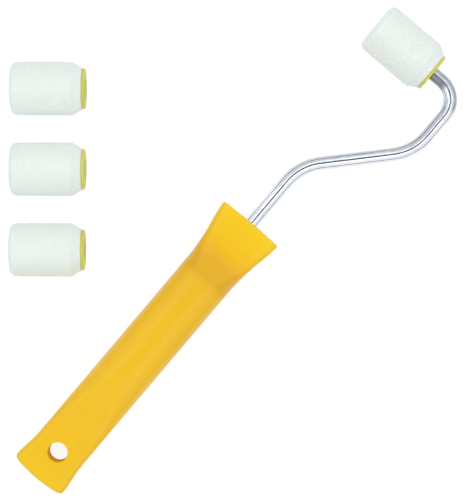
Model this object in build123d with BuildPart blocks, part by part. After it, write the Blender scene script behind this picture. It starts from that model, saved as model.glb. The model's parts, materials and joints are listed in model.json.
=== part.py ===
"""Mini paint roller with three spare refills, in millimetres.

Row frame: the origin is the centre of the hang hole at the middle of the handle's thickness. +X runs along
the handle towards the roller, +Y to the left as seen from above, +Z up. The tool lies flat, held up by the
handle's nose and the foam of the roller; the spares lie beside it on the same floor.
"""

import os
from math import cos, radians, sin, sqrt

from build123d import *

# ---- Fits -----------------------------------------------------------------------------------------------
glued_fit = 0.05  # radial room between pieces that are bonded or pressed and never move
wire_fit = 0.03  # radial room of the wire in its socket and in a bush
spin_fit = 0.08  # radial running room of the bush in its core tube
neck_fit = 0.2  # radial room of the bush's neck in the flange's hole
end_play = 0.2  # room along the axle at each end of the bush

# ---- Handle ---------------------------------------------------------------------------------------------
handle_length = 156.1
hole_to_tail = 15.8
hole_radius = 4.7
hole_rim = 0.6
grip_width = 25.6
grip_thickness = 20.0
tail_width = 28.3
tail_thickness = 15.0
nose_width = 33.2
nose_thickness = 24.9
tail_end_radius = 70.0
tail_edge_round = 1.5
nose_edge_round = 0.8
nose_crown_radius = 220.0
wall = 2.5
tail_flat_end = 6.0  # where the flat pads around the hang hole end
grip_start = 49.0
cavity_start = 12.0
scoop_depth = 1.4  # thickness lost in the thumb scoop
scoop_drop = 11.0  # length over which the scoop goes down
scoop_rise = 17.0  # length over which the nose rises from it
nose_plateau = 19.1  # full thickness behind the nose's front
flare_length = 38.1
flare_past = 9.0  # the flare is still widening at the nose and would level off this far past it
tail_flare_back = 3.0  # the tail keeps its full width for this length
tail_flare_length = 14.0
grip_roundness = 0.495  # corner radius of a cross-section over its thickness
nose_roundness = 0.15
tail_roundness = 0.2
squaring_length = 10.0  # from the scoop's crease to where the nose's corners are as sharp as at its front

tail_x = -hole_to_tail
nose_x = handle_length - hole_to_tail
plateau_x = nose_x - nose_plateau
scoop_x = plateau_x - scoop_rise  # the crease at the bottom of the scoop
grip_end = scoop_x - scoop_drop
flare_start = nose_x - flare_length

# ---- Nose plug ------------------------------------------------------------------------------------------
plug_flange_depth = 4.5
plug_flange_rim = 2.2  # wall of the nose around the plug's flange
spigot_depth = 8.0
spigot_step = 1.5  # how far the spigot is set in from the flange
spigot_wall = 2.0
socket_wall = 2.3
socket_rib = 1.6
rib_gap = 0.6  # between a socket rib and the handle's inner wall
bore_mouth_chamfer = 0.6
socket_end_wall = 2.5

# ---- Wire frame -----------------------------------------------------------------------------------------
wire_radius = 3.175
wire_grip_depth = 70.0  # length of wire inside the handle
wire_straight = 35.1  # from the nose to the first bend's corner
wire_reach = 74.6  # from the nose to the second bend's corner
wire_offset = 36.65  # sideways to the outer run
axle_distance = 108.65  # from the nose to the roller's axle
wire_bend = 25.0
axle_bend = 12.0
wire_tip_chamfer = 0.8
ear_length = 8.0
ear_reach = 1.4  # how far each ear stands out of the wire
ear_thickness = 2.2
ear_setback = 2.0

# ---- Roller refill, measured along its own axis from the foam's near face --------------------------------
foam_radius = 12.5
foam_length = 33.0
foam_wall = 5.0
foam_end = 4.0
foam_bevel = 3.4
foam_end_round = 3.0
foam_near_round = 1.0
core_wall = 1.5
core_end_wall = 1.5
flange_lip = 2.0  # how far the flange stands out past the core tube
flange_thickness = 2.0
flange_edge_round = 0.5
flange_spigot = 6.0
bush_neck_wall = 1.0
bush_neck_stub = 0.4  # the neck stops this far short of the flange's outer face
bush_slot_width = 1.0
bush_slot_length = 12.0
bush_slots = 3
bush_end_wall = 2.3

core_radius = foam_radius - foam_wall
core_bore = core_radius - core_wall
core_length = foam_length - foam_end
bush_radius = core_bore - spin_fit
bush_bore = wire_radius + wire_fit
bush_neck_radius = bush_bore + bush_neck_wall
flange_radius = core_radius + flange_lip
bush_mouth = bush_neck_stub - flange_thickness
bush_shoulder = flange_spigot + end_play
bush_end = core_length - core_end_wall - end_play
bush_bore_end = bush_end - bush_end_wall
axle_depth = bush_bore_end - wire_fit  # how far the wire's tip reaches past the foam's near face

# ---- Spare refills --------------------------------------------------------------------------------------
spare_turn = 130.0  # direction of a spare's closed end, from +X
spare_gap = 12.9  # between neighbouring spares
spare_count = 3
spare_back = 42.6  # from the nose back to the middle spare's centre, flange included
spare_side = 89.43  # from the handle's axis to it

# ---- Places ---------------------------------------------------------------------------------------------
axle_x = nose_x + axle_distance
fitted_near_y = -17.6
wire_tail_x = nose_x - wire_grip_depth
wire_tip_y = fitted_near_y + axle_depth
socket_back_x = wire_tail_x - glued_fit - socket_end_wall
flange_back_x = nose_x - plug_flange_depth
spigot_back_x = flange_back_x - spigot_depth
socket_bore = wire_radius + wire_fit
socket_radius = socket_bore + socket_wall
socket_rib_reach = grip_width / 2 - wall - rib_gap

radius_match = 0.01  # how closely an edge is matched by its radius

os.makedirs("parts", exist_ok=True)


def save(builder, name):
    builder.part.label = name
    export_step(builder.part, f"parts/{name}.step")


def ease(x, start, length):
    """A smooth step from 0 to 1 that begins at start."""
    t = min(1.0, max(0.0, (x - start) / length))
    return t * t * (3 - 2 * t)


def ramp(x, start, length):
    """A step from 0 to 1 that begins at full slope, so that it leaves a crease, and rounds off level."""
    t = min(1.0, max(0.0, (x - start) / length))
    return (8 * t if t < 0.75 else 7 - 16 * (1 - t) ** 2) / 7


def flare(x):
    """How much of its flare the nose has at x, from 0 to 1 at its front."""
    run = flare_length + flare_past
    return ease(x, flare_start, run) / ease(nose_x, flare_start, run)


def handle_width(x):
    return (
        grip_width
        + (tail_width - grip_width) * (1 - ease(x, tail_x + tail_flare_back, tail_flare_length))
        + (nose_width - grip_width) * flare(x)
    )


def handle_thickness(x):
    return (
        tail_thickness
        + (grip_thickness - tail_thickness) * ease(x, tail_flat_end, grip_start - tail_flat_end)
        - scoop_depth * ease(x, grip_end, scoop_drop)
        + (nose_thickness - grip_thickness + scoop_depth) * ramp(x, scoop_x, scoop_rise)
    )


def rounded_section(x, inset=0.0):
    """The handle's cross-section at x, made smaller by the inset all round."""
    width, thickness = handle_width(x) - 2 * inset, handle_thickness(x) - 2 * inset
    roundness = (
        grip_roundness
        + (tail_roundness - grip_roundness) * (1 - ease(x, tail_flat_end, grip_start - tail_flat_end))
        + (nose_roundness - grip_roundness) * ramp(x, scoop_x, squaring_length)
    )
    RectangleRounded(width, thickness, thickness * roundness)


def handle_run(start, end, spans, inset=0.0):
    """A length of the handle's outer shape, or of the shape one wall thickness inside it."""
    with BuildPart() as run:
        for i in range(spans + 1):
            x = start + (end - start) * i / spans
            with BuildSketch(Plane.YZ.offset(x)):
                rounded_section(x, inset)
        loft()
    return run.part


def nose_block(front, back, inset):
    """A straight rounded block from front back towards the tail, set in from the nose's outline."""
    with BuildPart() as block:
        with BuildSketch(Plane.YZ.offset(back)):
            rounded_section(nose_x, inset)
        extrude(amount=front - back)
    return block.part


def round_edges(builder, radius):
    circles = builder.edges().filter_by(GeomType.CIRCLE)
    return circles.filter_by(lambda edge: abs(edge.radius - radius) < radius_match)


# ---- Handle body: hollow moulding, solid at the tail ----------------------------------------------------
past_end = 2.0
tail_half = handle_width(tail_x) / 2 + past_end  # the end's arc runs past both sides
tail_sagitta = tail_end_radius - sqrt(tail_end_radius**2 - tail_half**2)
outer_runs = [
    handle_run(tail_x - past_end, tail_flat_end, 4),
    handle_run(tail_flat_end, grip_start, 6),
    handle_run(grip_start, grip_end, 1),
    handle_run(grip_end, scoop_x, 4),
    handle_run(scoop_x, plateau_x, 7),
    handle_run(plateau_x, nose_x + past_end, 5),
]
cavity_runs = [
    handle_run(cavity_start, grip_start, 4, wall),
    handle_run(grip_start, grip_end, 1, wall),
    handle_run(grip_end, scoop_x, 3, wall),
    handle_run(scoop_x, plateau_x, 5, wall),
    handle_run(plateau_x, spigot_back_x, 2, wall),
    nose_block(flange_back_x, spigot_back_x, plug_flange_rim + spigot_step),
    nose_block(nose_x + past_end, flange_back_x, plug_flange_rim),
]
past_socket = 1.0  # the cavity's round way for the socket starts this far behind it

with BuildPart() as handle_body:
    add(outer_runs)
    # Tail end rounded in plan
    with BuildSketch(Plane.XY.offset(-nose_thickness)):
        with BuildLine():
            tail_corner = tail_x + tail_sagitta
            RadiusArc((tail_corner, tail_half), (tail_corner, -tail_half), -tail_end_radius)
            Polyline(
                (tail_corner, tail_half),
                (tail_corner, nose_width),
                (nose_x + past_end, nose_width),
                (nose_x + past_end, -nose_width),
                (tail_corner, -nose_width),
                (tail_corner, -tail_half),
            )
        make_face()
    extrude(amount=2 * nose_thickness, mode=Mode.INTERSECT)
    with Locations((nose_x - nose_crown_radius, 0, 0)):
        Sphere(nose_crown_radius, mode=Mode.INTERSECT)
    tail_edges = handle_body.edges().filter_by_position(Axis.X, tail_x - past_end, tail_corner + past_end)
    fillet(tail_edges, tail_edge_round)
    fillet(handle_body.edges().filter_by_position(Axis.X, nose_x - past_end, nose_x), nose_edge_round)
    add(cavity_runs, mode=Mode.SUBTRACT)
    # Round way for the socket, where the cavity is lower than it
    with BuildSketch(Plane.YZ.offset(socket_back_x - past_socket)):
        Circle(socket_radius + glued_fit)
    extrude(amount=flange_back_x - socket_back_x, mode=Mode.SUBTRACT)
    # Hang hole with a rounded rim
    with BuildSketch(Plane.XY.offset(-tail_thickness / 2)):
        Circle(hole_radius)
    extrude(amount=tail_thickness, mode=Mode.SUBTRACT)
    fillet(round_edges(handle_body, hole_radius), hole_rim)

save(handle_body, "handle_body")

# ---- Nose plug: crowned front, coring behind it and the long ribbed socket that grips the wire -----------
with BuildPart() as nose_plug:
    add(nose_block(nose_x + past_end, flange_back_x, plug_flange_rim + glued_fit))
    with Locations((nose_x - nose_crown_radius, 0, 0)):
        Sphere(nose_crown_radius, mode=Mode.INTERSECT)
    add(nose_block(flange_back_x, spigot_back_x, plug_flange_rim + spigot_step + glued_fit))
    add(
        nose_block(flange_back_x, spigot_back_x, plug_flange_rim + spigot_step + glued_fit + spigot_wall),
        mode=Mode.SUBTRACT,
    )
    # Socket tube with a rib on each side
    with BuildSketch(Plane.YZ.offset(socket_back_x)):
        Circle(socket_radius)
        Rectangle(2 * socket_rib_reach, socket_rib)
    extrude(amount=flange_back_x - socket_back_x)
    # Bore for the wire and the pocket its ears sit in
    with BuildSketch(Plane.YZ.offset(wire_tail_x - glued_fit)):
        Circle(socket_bore)
    extrude(amount=handle_length, mode=Mode.SUBTRACT)
    with BuildSketch(Plane.YZ.offset(wire_tail_x + ear_setback - glued_fit)):
        Rectangle(2 * (wire_radius + ear_reach + glued_fit), ear_thickness + 2 * glued_fit)
    extrude(amount=ear_length + 2 * glued_fit, mode=Mode.SUBTRACT)
    chamfer(round_edges(nose_plug, socket_bore).sort_by(Axis.X)[-1], bore_mouth_chamfer)

save(nose_plug, "nose_plug")

# ---- Wire frame: one round bar, bent three times in one plane --------------------------------------------
with BuildPart() as frame_wire:
    with BuildLine() as wire_path:
        FilletPolyline(
            (wire_tail_x, 0, 0),
            (nose_x + wire_straight, 0, 0),
            (nose_x + wire_reach, -wire_offset, 0),
            (axle_x, -wire_offset, 0),
            (axle_x, wire_tip_y, 0),
            radius=[wire_bend, wire_bend, axle_bend],
        )
    with BuildSketch(Plane(origin=wire_path.line @ 0, z_dir=wire_path.line % 0)):
        Circle(wire_radius)
    sweep()
    chamfer(frame_wire.faces().sort_by(Axis.Y)[-1].edges(), wire_tip_chamfer)
    with BuildSketch(Plane.YZ.offset(wire_tail_x + ear_setback)):
        Rectangle(2 * (wire_radius + ear_reach), ear_thickness)
    extrude(amount=ear_length)

save(frame_wire, "frame_wire")


# ---- Roller refill --------------------------------------------------------------------------------------
def refill_plane(near_face, direction):
    """Local x along the refill from the foam's near face, local y up."""
    turn = radians(direction)
    return Plane(
        origin=(near_face[0], near_face[1], 0),
        x_dir=(cos(turn), sin(turn), 0),
        z_dir=(sin(turn), -cos(turn), 0),
    )


def make_refill(name, near_face, direction):
    plane = refill_plane(near_face, direction)
    axle = Axis(plane.origin, plane.x_dir)

    with BuildPart() as foam_cover:
        with BuildSketch(plane):
            with BuildLine():
                Polyline(
                    (0, core_radius + glued_fit),
                    (0, foam_radius - foam_bevel),
                    (foam_bevel, foam_radius),
                    (foam_length, foam_radius),
                    (foam_length, 0),
                    (core_length + glued_fit, 0),
                    (core_length + glued_fit, core_radius + glued_fit),
                    close=True,
                )
            make_face()
        revolve(axis=axle)
        rims = foam_cover.edges().filter_by(GeomType.CIRCLE)
        far_rim = rims.filter_by(lambda e: abs(e.radius - foam_radius) < 0.01).sort_by(axle)[-1]
        fillet(far_rim, foam_end_round)
        near_rim = foam_cover.edges().filter_by(GeomType.CIRCLE).filter_by(
            lambda e: abs(e.radius - (foam_radius - foam_bevel)) < 0.01
        )
        fillet(near_rim, foam_near_round)
    save(foam_cover, f"{name}_foam_cover")

    with BuildPart() as core_tube:
        with BuildSketch(plane):
            with BuildLine():
                Polyline(
                    (0, core_bore),
                    (0, core_radius),
                    (core_length, core_radius),
                    (core_length, 0),
                    (core_length - core_end_wall, 0),
                    (core_length - core_end_wall, core_bore),
                    close=True,
                )
            make_face()
        revolve(axis=axle)
    save(core_tube, f"{name}_core_tube")

    with BuildPart() as flange_cap:
        with BuildSketch(plane):
            with BuildLine():
                Polyline(
                    (-flange_thickness, bush_neck_radius + neck_fit),
                    (-flange_thickness, flange_radius),
                    (-glued_fit, flange_radius),
                    (-glued_fit, core_bore - glued_fit),
                    (flange_spigot, core_bore - glued_fit),
                    (flange_spigot, bush_neck_radius + neck_fit),
                    close=True,
                )
            make_face()
        revolve(axis=axle)
        fillet(round_edges(flange_cap, flange_radius), flange_edge_round)
    save(flange_cap, f"{name}_flange_cap")

    with BuildPart() as axle_bush:
        with BuildSketch(plane):
            with BuildLine():
                Polyline(
                    (bush_mouth, bush_bore),
                    (bush_mouth, bush_neck_radius),
                    (bush_shoulder, bush_neck_radius),
                    (bush_shoulder, bush_radius),
                    (bush_end, bush_radius),
                    (bush_end, 0),
                    (bush_bore_end, 0),
                    (bush_bore_end, bush_bore),
                    close=True,
                )
            make_face()
        revolve(axis=axle)
        # Slots that leave gripping tongues round the wire
        slot_plane = Plane(origin=plane.origin + plane.x_dir * bush_shoulder, z_dir=plane.x_dir)
        with BuildSketch(slot_plane):
            with PolarLocations(bush_radius, bush_slots, start_angle=90):
                Rectangle(2 * (bush_radius - bush_bore + bush_slot_width), bush_slot_width)
        extrude(amount=bush_slot_length, mode=Mode.SUBTRACT)
    save(axle_bush, f"{name}_axle_bush")


make_refill("fitted", (axle_x, fitted_near_y), 90)

refill_centre = (foam_length - flange_thickness) / 2
spare_pitch = 2 * foam_radius + spare_gap
for i in range(spare_count):
    along_row = spare_pitch * ((spare_count - 1) / 2 - i)
    row_turn = radians(spare_turn - 90)
    near_x = nose_x - spare_back + along_row * cos(row_turn) - refill_centre * cos(radians(spare_turn))
    near_y = spare_side + along_row * sin(row_turn) - refill_centre * sin(radians(spare_turn))
    make_refill(f"spare_{i + 1}", (near_x, near_y), spare_turn)
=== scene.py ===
"""Mini paint roller with three spare refills: the looks of its handle, plated wire and foam covers."""

import json
import math

import bmesh
import bpy
from mathutils import Matrix, Vector


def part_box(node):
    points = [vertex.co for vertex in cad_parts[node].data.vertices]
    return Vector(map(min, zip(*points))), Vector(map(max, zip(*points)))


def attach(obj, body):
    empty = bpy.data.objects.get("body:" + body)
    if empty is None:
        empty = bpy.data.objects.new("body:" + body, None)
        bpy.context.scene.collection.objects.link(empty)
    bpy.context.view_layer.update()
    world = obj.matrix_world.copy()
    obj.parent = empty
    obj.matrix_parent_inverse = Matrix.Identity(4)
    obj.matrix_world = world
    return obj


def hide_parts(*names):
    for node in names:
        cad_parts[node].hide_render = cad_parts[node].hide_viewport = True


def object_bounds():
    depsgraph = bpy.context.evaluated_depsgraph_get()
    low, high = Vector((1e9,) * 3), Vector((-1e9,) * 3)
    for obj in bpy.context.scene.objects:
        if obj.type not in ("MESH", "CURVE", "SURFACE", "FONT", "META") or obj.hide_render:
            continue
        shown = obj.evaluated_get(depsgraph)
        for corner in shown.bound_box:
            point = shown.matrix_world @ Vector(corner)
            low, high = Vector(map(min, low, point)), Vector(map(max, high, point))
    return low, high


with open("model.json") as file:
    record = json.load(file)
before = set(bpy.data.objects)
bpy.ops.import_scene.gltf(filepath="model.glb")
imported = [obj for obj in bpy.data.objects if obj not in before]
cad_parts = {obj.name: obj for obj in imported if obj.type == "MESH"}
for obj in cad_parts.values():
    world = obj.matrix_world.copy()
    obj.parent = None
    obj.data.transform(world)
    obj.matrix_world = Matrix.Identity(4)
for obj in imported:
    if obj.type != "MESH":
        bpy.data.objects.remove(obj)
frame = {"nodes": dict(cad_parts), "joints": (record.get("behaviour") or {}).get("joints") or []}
cad_low, cad_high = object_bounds()
MM = 0.001

# ---- Sizes shared with the part, in millimetres ---------------------------------------------------------
tail_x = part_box("handle_body")[0].x / MM
nose_x = tail_x + 156.1
tail_width, tail_thickness = 28.3, 15.0
grip_width, grip_thickness = 25.6, 20.0
nose_width, nose_thickness = 33.2, 24.9
tail_flat_end, grip_start = 6.0, 49.0
scoop_drop, scoop_rise, scoop_depth = 11.0, 17.0, 1.4
scoop_x = nose_x - 19.1 - scoop_rise
grip_end = scoop_x - scoop_drop
flare_start, flare_run = nose_x - 38.1, 47.1
scoop_sweep = 5.5  # how far forward the scoop's crease runs from its middle to its sides
hole_radius, hole_rim = 4.7, 0.6
wall = 2.5
plug_depth, plug_rim, spigot_step = 4.5, 2.2, 1.5
spigot_back = nose_x - 12.5
tail_bow, nose_bow = 1.43, 0.62  # how far the sides of the tail's end and of the nose's front lie back

wire_radius = 3.175
wire_low, wire_high = (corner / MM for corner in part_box("frame_wire"))
axle_x = wire_high.x - wire_radius
wire_side = wire_low.y + wire_radius
wire_corners = [
    (nose_x + 35.1, 0.0, 25.0),
    (nose_x + 74.6, wire_side, 25.0),
    (axle_x, wire_side, 12.0),
]
wire_tip = wire_high.y

foam_radius, foam_length = 12.5, 33.0
foam_far_round, foam_bore_end, foam_bore = 3.0, 29.05, 7.55
flange_radius, flange_thickness, flange_hole = 9.5, 2.0, 4.405
spigot_radius = 5.95  # the cap's spigot in the core tube's 6 mm bore

refills = {}
for joint in frame["joints"]:
    if joint.get("continuous"):
        name = "fitted" if joint["name"] == "roller_spin" else joint["name"].replace("_spin", "")
        refills[name] = (Vector(joint["pos_m"]), math.atan2(joint["axis"][1], joint["axis"][0]))
cap_face = refills["fitted"][0].y / MM - flange_thickness  # where the wire goes into the fitted refill


# ---- Shader helpers -------------------------------------------------------------------------------------
def tint(red, green, blue):
    """A colour as a paint chart gives it, 0 to 255, turned into the linear numbers a shader takes."""
    shares = (red / 255, green / 255, blue / 255)
    linear = [c / 12.92 if c <= 0.04045 else ((c + 0.055) / 1.055) ** 2.4 for c in shares]
    return (*linear, 1.0)


class Signal:
    """One value or colour running through a finish's nodes. Arithmetic on it adds Math nodes."""

    def __init__(self, finish, socket):
        self.finish, self.socket = finish, socket

    def math(self, operation, first, second=0.0):
        return self.finish.node("ShaderNodeMath", {"operation": operation}, {0: first, 1: second})

    def __add__(self, other):
        return self.math("ADD", self, other)

    def __sub__(self, other):
        return self.math("SUBTRACT", self, other)

    def __rsub__(self, other):
        return self.math("SUBTRACT", other, self)

    def __mul__(self, other):
        return self.math("MULTIPLY", self, other)

    def __truediv__(self, other):
        return self.math("DIVIDE", self, other)

    def __abs__(self):
        return self.math("ABSOLUTE", self)

    __radd__, __rmul__ = __add__, __mul__


class Nodes:
    """A node tree and the ways it is added to."""

    def __init__(self, tree):
        self.tree = tree
        tree.nodes.clear()

    def node(self, kind, settings=None, values=None, output=0):
        """Adds one node: its settings first, then what its sockets hold or are fed by."""
        made = self.tree.nodes.new(kind)
        for key, value in (settings or {}).items():
            if key == "stops":
                ramp = made.color_ramp
                for i, (place, colour) in enumerate(value):
                    stop = ramp.elements[i] if i < 2 else ramp.elements.new(place)
                    stop.position, stop.color = place, colour
            else:
                setattr(made, key, value)
        for key, value in (values or {}).items():
            self.put(made.inputs[key], value)
        return Signal(self, made.outputs[output])

    def put(self, socket, value):
        if isinstance(value, Signal):
            self.tree.links.new(value.socket, socket)
        else:
            socket.default_value = value

    def place(self):
        """Where a point is on the object, in metres."""
        return self.node("ShaderNodeTexCoord", output=3)

    def stretch(self, place, scale):
        return self.node("ShaderNodeMapping", {}, {0: place, 3: scale})

    def noise(self, place, size, detail=2.0, rough=0.5, seed=0.0):
        """Soft random patches of about this size in millimetres, from 0 to 1."""
        return self.node(
            "ShaderNodeTexNoise",
            {"noise_dimensions": "4D"},
            {"Vector": place, "W": seed, "Scale": 1 / (size * MM), "Detail": detail, "Roughness": rough},
        )

    def cells(self, place, size):
        """Cells of about this size in millimetres: 0 at each middle, rising towards its wall."""
        return self.node("ShaderNodeTexVoronoi", {}, {"Vector": place, "Scale": 1 / (size * MM)})

    def between(self, value, low, high):
        """0 below low and 1 above high, with a smooth step between."""
        limits = {0: value, 1: low, 2: high, 3: 0.0, 4: 1.0}
        return self.node("ShaderNodeMapRange", {"interpolation_type": "SMOOTHSTEP"}, limits)

    def blend(self, share, first, second, mode="MIX"):
        """From the first colour to the second by share."""
        settings = {"data_type": "RGBA", "blend_type": mode}
        return self.node("ShaderNodeMix", settings, {0: share, 6: first, 7: second}, output=2)

    def axis(self, place, which):
        return self.node("ShaderNodeSeparateXYZ", {}, {0: place}, output="XYZ".index(which))

    def relief(self, height, depth, strength=1.0, under=None):
        """A bump of this depth in millimetres, over another one if it is given."""
        values = {"Strength": strength, "Distance": depth * MM, "Height": height}
        if under is not None:
            values["Normal"] = under
        return self.node("ShaderNodeBump", {}, values)


class Finish(Nodes):
    """A procedural material on the standard shader. Constants go straight onto its sockets."""

    def __init__(self, name, **constants):
        self.material = bpy.data.materials.new(name)
        self.material.use_nodes = True
        super().__init__(self.material.node_tree)
        self.shader = self.tree.nodes.new("ShaderNodeBsdfPrincipled")
        self.surface = Signal(self, self.shader.outputs[0])
        self.end = self.tree.nodes.new("ShaderNodeOutputMaterial")
        self.put(self.end.inputs["Surface"], self.surface)
        for socket, value in constants.items():
            self.shader.inputs[socket.replace("_", " ").title().replace("Ior", "IOR")].default_value = value

    def feed(self, **sockets):
        for name, value in sockets.items():
            self.put(self.shader.inputs[name.replace("_", " ").title()], value)


# ---- Finishes -------------------------------------------------------------------------------------------
def moulded_plastic(name, main, deep, pale, roughness, grain_depth, seed, painted_shade_lengthwise=None, parting=False):
    """Injection-moulded plastic: a satin skin with fine spark grain, soft sink marks and faint rubs.

    Painted shade and light along the handle: a list of (place along X in millimetres, colour) from end to
    end, darker in the thumb scoop, lighter on the nose. It stands in for the main colour, and deep then
    multiplies it.
    Only the handle has it, and the hang hole."""
    finish = Finish(name, ior=1.5, specular_ior_level=0.38)
    place = finish.place()
    cloud = finish.noise(place, 26, 2, 0.5, seed)
    speck = finish.noise(place, 3.2, 3, 0.6, seed + 3)
    rub = finish.noise(finish.stretch(place, (0.25, 1, 1)), 1.6, 4, 0.65, seed + 7)
    # Painted shade and light along X: darker in the thumb scoop, lighter on the nose
    if painted_shade_lengthwise:
        first, last = painted_shade_lengthwise[0][0], painted_shade_lengthwise[-1][0]
        stops = [((x - first) / (last - first), colour) for x, colour in painted_shade_lengthwise]
        share = (finish.axis(place, "X") - first * MM) / ((last - first) * MM)
        main = finish.node("ShaderNodeValToRGB", {"stops": stops}, {0: share})
        deep = finish.blend(1.0, main, deep, "MULTIPLY")
    colour = finish.blend(finish.between(cloud, 0.36, 0.66), deep, main)
    colour = finish.blend(finish.between(speck, 0.56, 0.75) * 0.35, colour, pale)
    matt = 0.0
    if painted_shade_lengthwise:
        # The hang hole's wall is painted a lighter, clearer yellow, painted light in the shaded bore, and
        # made matt from the core pin
        flat = finish.stretch(place, (1, 1, 0))
        reach = finish.node("ShaderNodeVectorMath", {"operation": "LENGTH"}, {0: flat}, "Value")
        bore = 1 - finish.between(reach, (hole_radius + 0.1) * MM, (hole_radius + 0.7) * MM)
        colour = finish.blend(bore * 0.9, colour, tint(250, 206, 24))
        matt = 0.5 * bore
    grain = finish.noise(place, 0.32, 3, 0.6, seed + 1)
    swell = finish.noise(place, 9, 1, 0.4, seed + 2)
    skin = finish.relief(grain, grain_depth, 0.7)
    skin = finish.relief(swell, 0.10, 0.5, skin)
    # The parting line runs round the handle's middle height
    if parting:
        ridge = 1 - finish.between(abs(finish.axis(place, "Z")), 0.05 * MM, 0.22 * MM)
        skin = finish.relief(ridge, 0.05, 0.8, skin)
    finish.feed(
        base_color=colour,
        roughness=roughness + 0.10 * rub - 0.05 * cloud + matt,
        normal=skin,
    )
    return finish.material


def zinc_plate():
    """Bright zinc over a drawn bar: long drawing lines, soft ripples and blue-grey passivation clouds."""
    finish = Finish("zinc_plate", metallic=1.0, ior=2.0)
    lay = finish.node("ShaderNodeAttribute", {"attribute_name": "wire_lay"}, output=1)
    lines = finish.noise(finish.stretch(lay, (1, 1, 0.02)), 0.28, 3, 0.6, 2)
    ripple = finish.noise(finish.stretch(lay, (1, 1, 0.45)), 2.6, 2, 0.5, 5)
    cloud = finish.noise(finish.stretch(lay, (1, 1, 0.5)), 4.5, 3, 0.6, 9)
    spangle = finish.cells(finish.stretch(lay, (1, 1, 0.6)), 1.1)
    pit = finish.noise(lay, 0.22, 2, 0.6, 14)
    place = finish.place()
    colour = finish.blend(finish.between(cloud, 0.35, 0.7), tint(240, 242, 246), tint(224, 229, 237))
    colour = finish.blend(finish.between(lines, 0.62, 0.8) * 0.35, colour, tint(190, 197, 208))
    # A painted reflection: a grey band along one side of the bar, from the first bend on, but not on the axle
    # or the last bend
    far, across = finish.axis(place, "X"), finish.axis(place, "Y")
    last_bend = finish.between(far, (axle_x - 10) * MM, (axle_x - 5) * MM)
    bare = 1 - last_bend * finish.between(across, (cap_face - 0.5) * MM, (cap_face + 9) * MM)
    painted_reflection_stripe = (1 - last_bend) * finish.between(finish.axis(lay, "X"), 0.1 * MM, 0.9 * MM)
    painted_reflection_stripe = painted_reflection_stripe * finish.between(far, (nose_x + 14) * MM, (nose_x + 30) * MM)
    mottle = finish.noise(finish.stretch(lay, (1, 1, 0.3)), 0.9, 3, 0.65, 17)
    painted_reflection_depth = 0.4 + 0.3 * finish.between(mottle, 0.4, 0.65)
    painted_reflection_depth = painted_reflection_depth + 0.2 * finish.between(far, (nose_x + 62) * MM, (nose_x + 78) * MM)
    # Painted reflection: patchy grey on one side, deeper towards the second bend
    colour = finish.blend(painted_reflection_stripe * painted_reflection_depth, colour, tint(168, 177, 184))
    # Painted reflections on the last bend, clear of the cap: grey blotches, a grey side and a dark side; the
    # bend is also rougher
    open_last_bend = bare * last_bend
    reflection_blotches = finish.noise(finish.stretch(lay, (1, 1, 0.25)), 1.3, 4, 0.7, 21)
    colour = finish.blend(open_last_bend * finish.between(reflection_blotches, 0.42, 0.62) * 0.75, colour, tint(158, 166, 180))
    # Painted reflection: one side of the last bend is painted grey
    outside = open_last_bend * (1 - finish.between(finish.axis(lay, "X"), -1.2 * MM, -0.4 * MM))
    colour = finish.blend(outside * 0.6, colour, tint(162, 166, 182))
    # Painted reflection: the −X side of the run up to the cap is painted dark
    dark_reflection_patch = finish.between(across, (wire_side + 7) * MM, (wire_side + 11) * MM)
    dark_reflection_patch = dark_reflection_patch * (1 - finish.between(far, (axle_x - 1.4) * MM, (axle_x + 0.8) * MM))
    colour = finish.blend(open_last_bend * dark_reflection_patch * 0.8, colour, tint(112, 110, 124))
    skin = finish.relief(lines, 0.012, 0.5)
    skin = finish.relief(ripple, 0.10, 0.55, skin)
    skin = finish.relief(pit, 0.006, 0.4, skin)
    finish.feed(
        base_color=colour,
        roughness=0.05 + 0.08 * cloud + 0.04 * spangle + 0.04 * lines + 0.10 * open_last_bend,
        normal=skin,
    )
    return finish.material


def cut_foam():
    """Fine open-cell foam, cut and ground: small pores with painted shade, cell walls with painted
    highlights, faint tone changes.
    """
    finish = Finish("cut_foam", specular_ior_level=0.18, sheen_weight=0.35, sheen_roughness=0.7)
    lay = finish.place()
    along = finish.node("ShaderNodeAttribute", {"attribute_name": "foam_along"}, output="Fac")
    painted_light_ends = finish.between(abs(along - 0.5), 0.39, 0.47)
    pores = finish.cells(lay, 0.55)
    coarse = finish.cells(lay, 1.15)
    cloud = finish.noise(lay, 7, 3, 0.55, 4)
    fuzz = finish.noise(lay, 0.3, 3, 0.7, 6)
    hollow = finish.between(pores, 0.25, 0.75)
    colour = finish.blend(cloud, tint(240, 248, 240), tint(234, 243, 235))
    # Painted light: paler bands at both end faces, on the near bevel and the rounded far end
    colour = finish.blend(painted_light_ends * 0.7, colour, tint(241, 246, 249))
    # Painted shade in the middles of the pores, and painted highlights on the walls of the larger cells
    colour = finish.blend((1 - hollow) * 0.22, colour, tint(212, 226, 215))
    colour = finish.blend(finish.between(coarse, 0.55, 0.95) * 0.25, colour, tint(243, 248, 244))
    skin = finish.relief(pores, 0.22, 0.75)
    skin = finish.relief(coarse, 0.16, 0.5, skin)
    skin = finish.relief(fuzz, 0.08, 0.6, skin)
    finish.feed(base_color=colour, roughness=0.9 + 0.08 * fuzz, normal=skin)
    return finish.material


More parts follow.
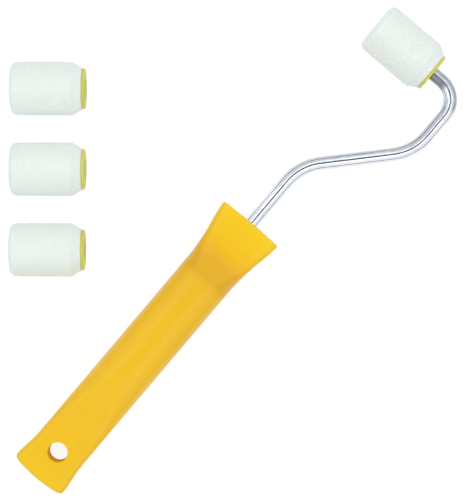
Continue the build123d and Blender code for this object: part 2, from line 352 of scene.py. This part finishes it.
handle_yellow = moulded_plastic(
    "handle_yellow",
    None,
    tint(252, 252, 246),
    tint(251, 207, 48),
    roughness=0.31,
    grain_depth=0.022,
    seed=1.0,
    # Painted shade and light from tail to nose: darker over the thumb scoop, lighter on the nose
    painted_shade_lengthwise=[
        (tail_x, tint(244, 197, 10)),
        (14, tint(244, 191, 12)),
        (46, tint(242, 191, 16)),
        (96, tint(240, 188, 18)),
        (scoop_x - 2, tint(240, 187, 16)),
        (scoop_x + 3, tint(231, 174, 6)),
        (scoop_x + 11, tint(233, 174, 6)),
        (scoop_x + 20, tint(245, 193, 8)),
        (nose_x, tint(249, 207, 10)),
    ],
    parting=True,
)
cap_olive = moulded_plastic(
    "cap_olive",
    tint(214, 211, 92),
    tint(206, 203, 78),
    tint(226, 223, 118),
    roughness=0.34,
    grain_depth=0.018,
    seed=11.0,
)
core_natural = moulded_plastic(
    "core_natural",
    tint(226, 226, 220),
    tint(214, 215, 208),
    tint(236, 236, 232),
    roughness=0.45,
    grain_depth=0.03,
    seed=21.0,
)
bush_natural = moulded_plastic(
    "bush_natural",
    tint(222, 221, 212),
    tint(208, 207, 196),
    tint(232, 231, 224),
    roughness=0.42,
    grain_depth=0.03,
    seed=31.0,
)
zinc = zinc_plate()
foam = cut_foam()


# ---- Modelling helpers ----------------------------------------------------------------------------------
def start(name):
    """An empty piece under this name, open for editing, with nothing else selected."""
    if bpy.context.mode != "OBJECT":
        bpy.ops.object.mode_set(mode="OBJECT")
    bpy.ops.object.select_all(action="DESELECT")
    piece = bpy.data.objects.new(name, bpy.data.meshes.new(name))
    bpy.context.scene.collection.objects.link(piece)
    piece.select_set(True)
    bpy.context.view_layer.objects.active = piece
    bpy.ops.object.mode_set(mode="EDIT")
    bpy.ops.mesh.select_mode(type="VERT")
    return piece


def close(piece):
    bpy.ops.object.mode_set(mode="OBJECT")
    return piece


def pick(piece, test, kind="VERT"):
    """Selects the points, edges or faces whose place in millimetres passes the test, and nothing else."""
    bpy.ops.mesh.select_mode(type=kind)
    bpy.ops.mesh.select_all(action="DESELECT")
    net = bmesh.from_edit_mesh(piece.data)
    if kind == "VERT":
        found = [v for v in net.verts if not v.hide and test(v.co / MM)]
    elif kind == "EDGE":
        found = [e for e in net.edges if not e.hide and test(e.verts[0].co / MM, e.verts[1].co / MM)]
    else:
        found = [f for f in net.faces if not f.hide and test(f.calc_center_median() / MM, f.normal)]
    for part in found:
        part.select_set(True)
    net.select_flush_mode()
    bmesh.update_edit_mesh(piece.data)


def slide(piece, rule):
    """Moves each selected point by what the rule gives for its place, in millimetres."""
    net = bmesh.from_edit_mesh(piece.data)
    for v in net.verts:
        if v.select:
            v.co += Vector(rule(v.co / MM)) * MM
    bmesh.update_edit_mesh(piece.data)


def draw_out(x=0.0, y=0.0, z=0.0):
    """Extrudes what is selected by this many millimetres."""
    bpy.ops.mesh.extrude_region_move(TRANSFORM_OT_translate={"value": (x * MM, y * MM, z * MM)})


def resize(centre, x=1.0, y=1.0, z=1.0):
    bpy.ops.transform.resize(value=(x, y, z), center_override=[c * MM for c in centre])


def bow(distance, reach):
    """Pulls what is selected along X, and what lies within reach of it less and less."""
    bpy.ops.transform.translate(
        value=(distance * MM, 0, 0),
        use_proportional_edit=True,
        proportional_edit_falloff="INVERSE_SQUARE",
        proportional_size=reach * MM,
    )


def apply(piece, kind, **settings):
    """Adds a modifier, sets it and applies it."""
    modifier = piece.modifiers.new(kind.lower(), kind)
    for key, value in settings.items():
        setattr(modifier, key, value)
    bpy.context.view_layer.objects.active = piece
    bpy.ops.object.modifier_apply(modifier=modifier.name)


def smooth(piece, levels):
    apply(piece, "SUBSURF", levels=levels, render_levels=levels)


def shade(piece, degrees=35.0):
    bpy.ops.object.select_all(action="DESELECT")
    piece.select_set(True)
    bpy.context.view_layer.objects.active = piece
    bpy.ops.object.shade_smooth_by_angle(angle=math.radians(degrees))


def face_outwards():
    bpy.ops.mesh.select_all(action="SELECT")
    bpy.ops.mesh.remove_doubles(threshold=0.00001)
    bpy.ops.mesh.normals_make_consistent(inside=False)


def dress(piece, material, body, slot, *nodes):
    """Gives a finished piece its material and its body, and hides the nodes it stands for. The slot is not
    used.
    """
    piece.data.materials.clear()
    piece.data.materials.append(material)
    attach(piece, body)
    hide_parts(*nodes)


# ---- Handle ---------------------------------------------------------------------------------------------
def ease(x, begin, length):
    t = min(1.0, max(0.0, (x - begin) / length))
    return t * t * (3 - 2 * t)


def ramp(x, begin, length):
    """Begins at full slope, so that it leaves a crease, and rounds off level over its last quarter."""
    t = min(1.0, max(0.0, (x - begin) / length))
    return (8 * t if t < 0.75 else 7 - 16 * (1 - t) ** 2) / 7


def handle_section(x):
    """Width, thickness and corner radius of the handle at x."""
    flare = ease(x, flare_start, flare_run) / ease(nose_x, flare_start, flare_run)
    width = (
        grip_width
        + (tail_width - grip_width) * (1 - ease(x, tail_x + 3, 14))
        + (nose_width - grip_width) * flare
    )
    thickness = (
        tail_thickness
        + (grip_thickness - tail_thickness) * ease(x, tail_flat_end, grip_start - tail_flat_end)
        - scoop_depth * ease(x, grip_end, scoop_drop)
        + (nose_thickness - grip_thickness + scoop_depth) * ramp(x, scoop_x, scoop_rise)
    )
    squareness = 1 - ease(x, tail_flat_end, grip_start - tail_flat_end)
    roundness = 0.495 - 0.295 * squareness - 0.345 * ramp(x, scoop_x, 10)
    return width, thickness, thickness * roundness


def sweep(place):
    """How far forward the scoop is at this place's distance from the handle's middle."""
    share = ease(place.x, grip_end, scoop_x - grip_end) * (1 - ease(place.x, scoop_x + 9, 26))
    return scoop_sweep * share * min(1.0, (place.y / 13) ** 2)


def add_ring(x, inset=0.0):
    """A rounded rectangle of edges across the handle, as large as its section there less the inset."""
    width, thickness, corner = handle_section(x)
    width, thickness = width - 2 * inset, thickness - 2 * inset
    corner *= thickness / (thickness + 2 * inset)
    bpy.ops.mesh.select_mode(type="VERT")
    bpy.ops.mesh.select_all(action="DESELECT")
    bpy.ops.mesh.primitive_plane_add(size=MM, location=(x * MM, 0, 0), rotation=(0, math.pi / 2, 0))
    resize((x, 0, 0), y=width, z=thickness)
    bpy.ops.mesh.bevel(offset=corner * MM, offset_type="OFFSET", segments=4, affect="VERTICES")
    bpy.ops.mesh.delete(type="ONLY_FACE")


def add_shell(piece, stations, inset=0.0):
    """An open tube of the handle's sections through these stations."""
    bpy.ops.mesh.select_all(action="SELECT")
    bpy.ops.mesh.hide()
    for x in stations:
        add_ring(x, inset)
    pick(piece, lambda a, b: abs(a.z - b.z) < 1e-3, "EDGE")
    bpy.ops.mesh.subdivide(number_cuts=3)
    pick(piece, lambda a, b: abs(a.y - b.y) < 1e-3, "EDGE")
    bpy.ops.mesh.subdivide(number_cuts=1)
    bpy.ops.mesh.select_all(action="SELECT")
    bpy.ops.mesh.bridge_edge_loops()
    bpy.ops.mesh.reveal(select=False)


def ring_at(piece, x, outside=True):
    """Selects the shell's ring at x, the outer or the inner one."""
    limit = handle_section(x)[1] / 2 - wall / 2

    def test(place):
        reach = abs(place.z) > limit or abs(place.y) > handle_section(x)[0] / 2 - wall / 2
        return abs(place.x - x) < 0.01 and reach == outside

    pick(piece, test)


def step_rings(section_x, start_x, steps, inset=0.0):
    """Extrudes the selected ring through (x, inset) steps, shrinking the section at section_x each time."""
    width, thickness = handle_section(section_x)[:2]
    x = start_x
    for next_x, next_inset in steps:
        draw_out(x=next_x - x)
        resize(
            (next_x, 0, 0),
            y=(width - 2 * next_inset) / (width - 2 * inset),
            z=(thickness - 2 * next_inset) / (thickness - 2 * inset),
        )
        x, inset = next_x, next_inset


def handle_moulding():
    """A hollow grip: outer skin, wall, rounded tail pad and the pocket the nose plug sits in."""
    piece = start("handle_moulding")
    tail_plane, rim_plane = tail_x + tail_bow, nose_x - nose_bow
    tail_start, rim_start = tail_plane + 1.5, rim_plane - 0.8
    outer = [tail_start, -11.6, -9.4, -7, -4.5, -1.8, 1.5, 5, 8, 11.5, 15, 19, 23, 27, 31, 35, 39, 43, 47, 52]
    outer += [60, 68, 76, 84, 90, 94, 97, 100, scoop_x - 2, scoop_x - 0.5, scoop_x + 0.5, scoop_x + 2]
    outer += [scoop_x + 4 + 2.2 * i for i in range(14)] + [rim_start - 1.2, rim_start]
    add_shell(piece, outer)
    add_shell(piece, [12, 18, 26, 34, 50, 70, 90, 98, 104, 111, 118, spigot_back], wall)

    # Tail: rounded edge, then the flat end closed towards its middle
    pick(piece, lambda place: place.x < tail_start + 0.01)
    tail_round = [(tail_plane + 0.75, 0.2), (tail_plane + 0.2, 0.75), (tail_plane, 1.5)]
    step_rings(tail_start, tail_start, tail_round)
    for share in (0.7, 0.6, 0.4):
        draw_out()
        resize((tail_plane, 0, 0), y=share, z=share)
    bpy.ops.mesh.merge(type="CENTER")
    # The end bows out along its width
    pick(piece, lambda place: place.x < tail_start + 0.01 and abs(place.y) < 0.1)
    bow(-tail_bow, tail_width / 2)

    # Inside end of the hollow
    ring_at(piece, 12, outside=False)
    for share in (0.6, 0.4):
        draw_out(x=-0.6)
        resize((12, 0, 0), y=share, z=share)
    bpy.ops.mesh.merge(type="CENTER")

    def hollow_mouth(place):
        width, thickness = handle_section(spigot_back)[:2]
        inside = abs(place.y) < width / 2 - wall + 0.1 and abs(place.z) < thickness / 2 - wall + 0.1
        return abs(place.x - spigot_back) < 0.02 and inside

    # The scoop's crease and the shoulder above it sweep forward at the sides
    ring_span = (grip_end - 1, nose_x - 2)
    pick(piece, lambda place: ring_span[0] < place.x < ring_span[1] and not hollow_mouth(place))
    slide(piece, lambda place: (sweep(place), 0, 0))

    # Nose: rounded edge, rim, pocket for the plug's flange, throat for its spigot
    pick(piece, lambda place: abs(place.x - rim_start) < 0.01)
    floor_x = nose_x - plug_depth
    step_rings(
        nose_x,
        rim_start,
        [
            (rim_start + 0.40, 0.11),
            (rim_start + 0.69, 0.40),
            (rim_plane, 0.8),
            (rim_plane + 0.10, 2.05),
            (rim_plane - 0.05, plug_rim),
            (rim_plane - 0.6, plug_rim),
            (floor_x + 0.3, plug_rim),
            (floor_x, plug_rim + 0.1),
            (floor_x, plug_rim + spigot_step - 0.2),
            (floor_x - 0.3, plug_rim + spigot_step),
            (spigot_back + 0.5, plug_rim + spigot_step),
        ],
    )
    # The throat joins the hollow
    throat_y, throat_z = (size / 2 - plug_rim - spigot_step for size in handle_section(nose_x)[:2])

    def at_throat(place):
        within = abs(place.y) < throat_y + 0.1 and abs(place.z) < throat_z + 0.1
        back_edge = within and abs(place.x - spigot_back - 0.5) < 0.02
        return back_edge or hollow_mouth(place)

    pick(piece, at_throat)
    bpy.ops.mesh.bridge_edge_loops()

    # The front bows out along its width
    pick(piece, lambda place: place.x > rim_start - 0.3 and abs(place.y) < 0.1 and place.x > floor_x + 1.5)
    bow(0.26, nose_width / 2)
    face_outwards()
    close(piece)
    smooth(piece, 2)
    hole = hole_cutter()
    apply(piece, "BOOLEAN", operation="DIFFERENCE", object=hole, solver="EXACT")
    bpy.data.objects.remove(hole)
    shade(piece, 40)
    apply(piece, "WEIGHTED_NORMAL", keep_sharp=True)
    dress(piece, handle_yellow, "frame", "handle_plastic", "handle_body")


def lathe(profile, vertices):
    """Draws a ring round X through (place along X, radius) steps, left open at both ends."""
    x, radius = profile[0]
    bpy.ops.mesh.primitive_circle_add(
        vertices=vertices, radius=radius * MM, location=(x * MM, 0, 0), rotation=(0, math.pi / 2, 0)
    )
    for next_x, next_radius in profile[1:]:
        draw_out(x=next_x - x)
        resize((next_x, 0, 0), y=next_radius / radius, z=next_radius / radius)
        x, radius = next_x, next_radius


def hole_cutter():
    """What the hang hole takes away: a bar that flares where it leaves the pad."""
    piece = start("hang_hole")
    half, rim = tail_thickness / 2, hole_rim
    angles = [math.radians(a) for a in (0, 18, 36, 54, 70, 80)]
    flare = [(half - rim + rim * math.sin(a), hole_radius + rim - rim * math.cos(a)) for a in angles]
    profile = [(half + 2, flare[-1][1] + 0.02)] + [(z, r) for z, r in reversed(flare)]
    profile += [(-z, r) for z, r in flare] + [(-half - 2, flare[-1][1] + 0.02)]
    lathe(profile, 72)
    bpy.ops.mesh.edge_face_add()
    pick(piece, lambda place: place.x > half + 1.9)
    bpy.ops.mesh.edge_face_add()
    face_outwards()
    bpy.ops.transform.rotate(value=math.pi / 2, orient_axis="Y", center_override=(0, 0, 0))
    return close(piece)


# ---- Wire frame -----------------------------------------------------------------------------------------
def plated_wire():
    """One bar: straight into the handle, two bends aside, a third up into the roller."""
    piece = start("plated_wire")
    around = 36
    tail = wire_low.x
    lengths = [0, 0.35, 2, 10]
    lathe([(tail + length, wire_radius if length else wire_radius - 0.35) for length in lengths], around)
    at = Vector((tail + 10, 0, 0))
    corners = [Vector((x, y, 0)) for x, y, r in wire_corners] + [Vector((axle_x, wire_tip, 0))]
    for (x, y, radius), corner, after in zip(wire_corners, corners, corners[1:]):
        into, out = (corner - at).normalized(), (after - corner).normalized()
        turn = math.atan2(into.x * out.y - into.y * out.x, into.dot(out))
        bend_start = corner - into * radius * math.tan(abs(turn) / 2)
        run = bend_start - at
        draw_out(run.x, run.y)
        lengths.append(lengths[-1] + run.length)
        inside = Vector((-into.y, into.x, 0)) * math.copysign(radius, turn)
        centre = bend_start + inside
        steps = max(8, round(abs(math.degrees(turn)) / 3.5))
        bpy.ops.mesh.spin(steps=steps, angle=-turn, center=centre * MM, axis=(0, 0, 1))
        lengths += [lengths[-1] + abs(turn) * radius * (i + 1) / steps for i in range(steps)]
        at = corner + out * radius * math.tan(abs(turn) / 2)
    draw_out(y=wire_tip - 0.8 - at.y)
    lengths.append(lengths[-1] + wire_tip - 0.8 - at.y)
    draw_out(y=0.8)
    resize((axle_x, wire_tip, 0), x=0.75, z=0.75)
    lengths.append(lengths[-1] + 0.8)
    bpy.ops.mesh.edge_face_add()
    close(piece)
    # A straightened place for every point, so that drawing lines run along the bar
    lay = piece.data.attributes.new("wire_lay", "FLOAT_VECTOR", "POINT")
    for i, spot in enumerate(lay.data):
        turn = 2 * math.pi * (i % around) / around
        y, z = math.cos(turn) * wire_radius, math.sin(turn) * wire_radius
        spot.vector = Vector((y, z, lengths[i // around])) * MM
    bpy.ops.object.mode_set(mode="EDIT")
    pick(piece, lambda place: place.x < tail + 0.01)
    bpy.ops.mesh.edge_face_add()
    # Pressed ears that stop the bar turning in its socket
    ear = 1.4
    for side in (-1, 1):

        def flank(place, normal):
            return tail + 2 < place.x < tail + 10 and place.y * side > 2 and abs(place.z) < 1.15

        pick(piece, flank, "FACE")
        draw_out(y=ear * side)
        resize((0, (wire_radius + ear) * side, 0), y=0)
    face_outwards()
    close(piece)
    shade(piece, 50)
    dress(piece, zinc, "frame", "zinc_wire", "frame_wire")


# ---- Refills --------------------------------------------------------------------------------------------
def put_in_place(piece, refill):
    """Turns and moves a piece made along +X from the origin to where this refill is, inside its mesh."""
    near_face, turn = refills[refill]
    piece.data.transform(Matrix.Translation(near_face) @ Matrix.Rotation(turn, 4, "Z"))


def body_of(refill):
    return "fitted_roller" if refill == "fitted" else refill


def copy_of(piece, name):
    copy = bpy.data.objects.new(name, piece.data.copy())
    copy.data.name = name
    bpy.context.scene.collection.objects.link(copy)
    return copy


def foam_sleeve():
    """A foam cup: bevelled near edge, rounded far end, bore for the core."""
    piece = start("foam_sleeve")
    profile = [(foam_bore_end, r) for r in (0.8, 3.5, 6.2)] + [(foam_bore_end - 0.15, foam_bore - 0.1)]
    profile += [(x, foam_bore) for x in (foam_bore_end - 1.2, 24, 18, 12, 6, 1.2)]
    # The soft edge swells a little over the rim of the flange, then the bevel begins
    profile += [(0.25, 7.62), (0.0, 7.95), (0.0, 8.6), (0.0, 9.3)]
    profile += [(-0.35, 9.56), (-0.55, 9.75), (-0.35, 10.02)]
    profile += [(0.3 + 0.95 * i, 10.2 + 0.6 * i) for i in (0, 1, 2)]
    profile += [(3.15, 12.0), (3.75, 12.4), (4.5, foam_radius)]
    profile += [(4.5 + 0.82 * i, foam_radius) for i in range(1, 31)]
    far = foam_length - foam_far_round
    for a in (15, 30, 45, 60, 75, 90):
        a = math.radians(a)
        profile.append((far + foam_far_round * math.sin(a), foam_radius - foam_far_round * (1 - math.cos(a))))
    profile += [(foam_length, r) for r in (8.6, 7.6, 6.6, 5.6, 4.6, 3.6, 2.6, 1.6, 0.8)]
    lathe(profile, 96)
    bpy.ops.mesh.merge(type="CENTER")
    pick(piece, lambda place: abs(place.x - foam_bore_end) < 0.01 and place.yz.length < 1.0)
    bpy.ops.mesh.merge(type="CENTER")
    face_outwards()
    close(piece)
    # How far along the refill each point lies, for the paler end bands, painted light on the near bevel and
    # the rounded far end
    along = piece.data.attributes.new("foam_along", "FLOAT", "POINT")
    for point, spot in zip(piece.data.vertices, along.data):
        spot.value = point.co.x / MM / foam_length
    return piece


def foam_covers():
    pattern = foam_sleeve()
    lumps = bpy.data.textures.new("foam_lumps", "CLOUDS")
    lumps.noise_scale, lumps.noise_depth = 4.0 * MM, 2
    pores = bpy.data.textures.new("foam_pores", "CLOUDS")
    pores.noise_scale, pores.noise_depth = 0.7 * MM, 1
    for refill in refills:
        piece = copy_of(pattern, f"{refill}_foam_sleeve")
        put_in_place(piece, refill)
        smooth(piece, 1)
        apply(piece, "DISPLACE", texture=lumps, texture_coords="LOCAL", strength=0.26 * MM, mid_level=0.6)
        apply(piece, "DISPLACE", texture=pores, texture_coords="LOCAL", strength=0.14 * MM, mid_level=0.6)
        shade(piece, 80)
        dress(piece, foam, body_of(refill), "foam", f"{refill}_foam_cover")
    bpy.data.objects.remove(pattern)


def end_cap():
    """A cap with a rounded flange, a shallow ring sunk in its face, and the spigot that plugs the core."""
    piece = start("end_cap")
    front = -flange_thickness
    ring_floor, rim = front + 0.3, 0.5
    profile = [(front + 0.12, flange_hole), (front, flange_hole + 0.12), (front, 5.5), (front + 0.06, 5.62)]
    profile += [(ring_floor, 5.8), (ring_floor, 8.1), (front + 0.06, 8.28), (front, 8.4)]
    profile.append((front, flange_radius - rim))
    for a in (22, 45, 68, 90):
        a = math.radians(a)
        profile.append((front + rim - rim * math.cos(a), flange_radius - rim + rim * math.sin(a)))
    profile += [(-0.55, flange_radius), (-0.2, 9.36), (-0.05, 9.0), (-0.05, 6.1), (0.1, spigot_radius)]
    profile += [(5.6, spigot_radius), (6.0, 5.6), (6.0, 4.6), (5.8, flange_hole)]
    lathe(profile, 72)
    pick(piece, lambda place: abs(place.yz.length - flange_hole) < 0.02)
    bpy.ops.mesh.bridge_edge_loops()
    face_outwards()
    return close(piece)


def end_caps():
    pattern = end_cap()
    for refill in refills:
        piece = copy_of(pattern, f"{refill}_end_cap")
        put_in_place(piece, refill)
        apply(piece, "BEVEL", width=0.06 * MM, segments=2, limit_method="ANGLE", angle_limit=math.radians(40))
        shade(piece, 40)
        dress(piece, cap_olive, body_of(refill), "cap_plastic", f"{refill}_flange_cap")
    bpy.data.objects.remove(pattern)


handle_moulding()
plated_wire()
foam_covers()
end_caps()


# ---- Stage, light and camera ----------------------------------------------------------------------------
TENT_LEVEL, DARK_LEVEL, LAMP_WATTS = 1.03, 0.03, 1.1
MIDDLE = Vector((0.12, 0, 0))


def paper_floor():
    """A white paper floor that keeps a faint shadow."""
    bpy.ops.object.select_all(action="DESELECT")
    bpy.ops.mesh.primitive_plane_add(size=6, location=(MIDDLE.x, 0, cad_low.z - 0.2 * MM))
    floor = bpy.context.object
    floor.name = "floor"
    paper = Finish("paper_floor", roughness=1.0, specular_ior_level=0.0)
    paper.feed(base_color=tint(246, 246, 246))
    # What is seen of it glows by itself and takes a little light, which leaves the shadow
    seen = paper.node("ShaderNodeLightPath", output="Is Camera Ray")
    for ray in ("Is Glossy Ray", "Is Transmission Ray"):
        seen = seen.math("MAXIMUM", seen, paper.node("ShaderNodeLightPath", output=ray))
    glow = paper.node("ShaderNodeEmission", {}, {"Color": (1, 1, 1, 1), "Strength": 0.88})
    dull = paper.node("ShaderNodeBsdfDiffuse", {}, {"Color": (0.16, 0.16, 0.16, 1)})
    white = paper.node("ShaderNodeAddShader", {}, {0: glow, 1: dull})
    mixed = paper.node("ShaderNodeMixShader", {}, {0: seen, 1: paper.surface, 2: white})
    paper.put(paper.end.inputs["Surface"], mixed)
    floor.data.materials.append(paper.material)


def light_tent():
    """White cloth all round from a little above the horizon, with a gap overhead for the lens."""
    world = bpy.data.worlds.new("light_tent")
    bpy.context.scene.world = world
    world.use_nodes = True
    tent = Nodes(world.node_tree)
    direction = tent.node("ShaderNodeTexCoord", output=0)
    up = tent.axis(direction, "Z")
    cloth = tent.between(up, 0.12, 0.24)
    lens_gap = tent.between(up, 0.954, 0.982)
    level = (DARK_LEVEL + (TENT_LEVEL - DARK_LEVEL) * cloth) * (1 - 0.92 * lens_gap)
    # Past the floor's edge the camera sees plain white
    camera_ray = tent.node("ShaderNodeLightPath", output="Is Camera Ray")
    level = level * (1 - camera_ray) + camera_ray
    cloth_white = tent.blend(camera_ray, (0.97, 0.985, 1.0, 1), (1, 1, 1, 1))
    room = tent.node("ShaderNodeBackground", {}, {"Color": cloth_white, "Strength": level})
    tent.put(tent.tree.nodes.new("ShaderNodeOutputWorld").inputs["Surface"], room)


def softbox(side, tilt=20, distance=1.1, length=1.6, width=0.32):
    """A long rectangular lamp over one side, its length along X, turned towards the middle."""
    lamp = bpy.data.lights.new(f"softbox_{side}", "AREA")
    lamp.shape, lamp.size, lamp.size_y, lamp.energy = "RECTANGLE", length, width, LAMP_WATTS
    box = bpy.data.objects.new(lamp.name, lamp)
    bpy.context.scene.collection.objects.link(box)
    lean = math.radians(tilt) * side
    centre = MIDDLE + Vector((0.15, math.sin(lean), math.cos(lean))) * distance
    back = (centre - MIDDLE).normalized()
    up = back.cross(Vector((1, 0, 0))).normalized()
    along = up.cross(back)
    turned = Matrix((along, up, back)).transposed().to_4x4()
    box.matrix_world = Matrix.Translation(centre) @ turned


def camera():
    lens = bpy.data.cameras.new("camera")
    lens.lens, lens.sensor_width, lens.clip_end = 141.83, 36.0, 20.0
    eye = bpy.data.objects.new("camera", lens)
    bpy.context.scene.collection.objects.link(eye)
    eye.location = (0.1253, -0.00085, 0.92)
    eye.rotation_euler = (0, 0, math.radians(-49.76))
    bpy.context.scene.camera = eye


paper_floor()
light_tent()
camera()
for side in (-1, 1):
    softbox(side)

# The part's own pieces: the inner ones stay in view in the bores and behind the nose
kinds = {
    "handle": handle_yellow,
    "nose": handle_yellow,
    "wire": zinc,
    "foam": foam,
    "cap": cap_olive,
    "core": core_natural,
    "bush": bush_natural,
}
for node_name, node in frame["nodes"].items():
    finish = next(material for word, material in kinds.items() if word in node_name)
    for slot in node.material_slots:
        slot.material = finish

bpy.context.scene.view_settings.view_transform = "Standard"
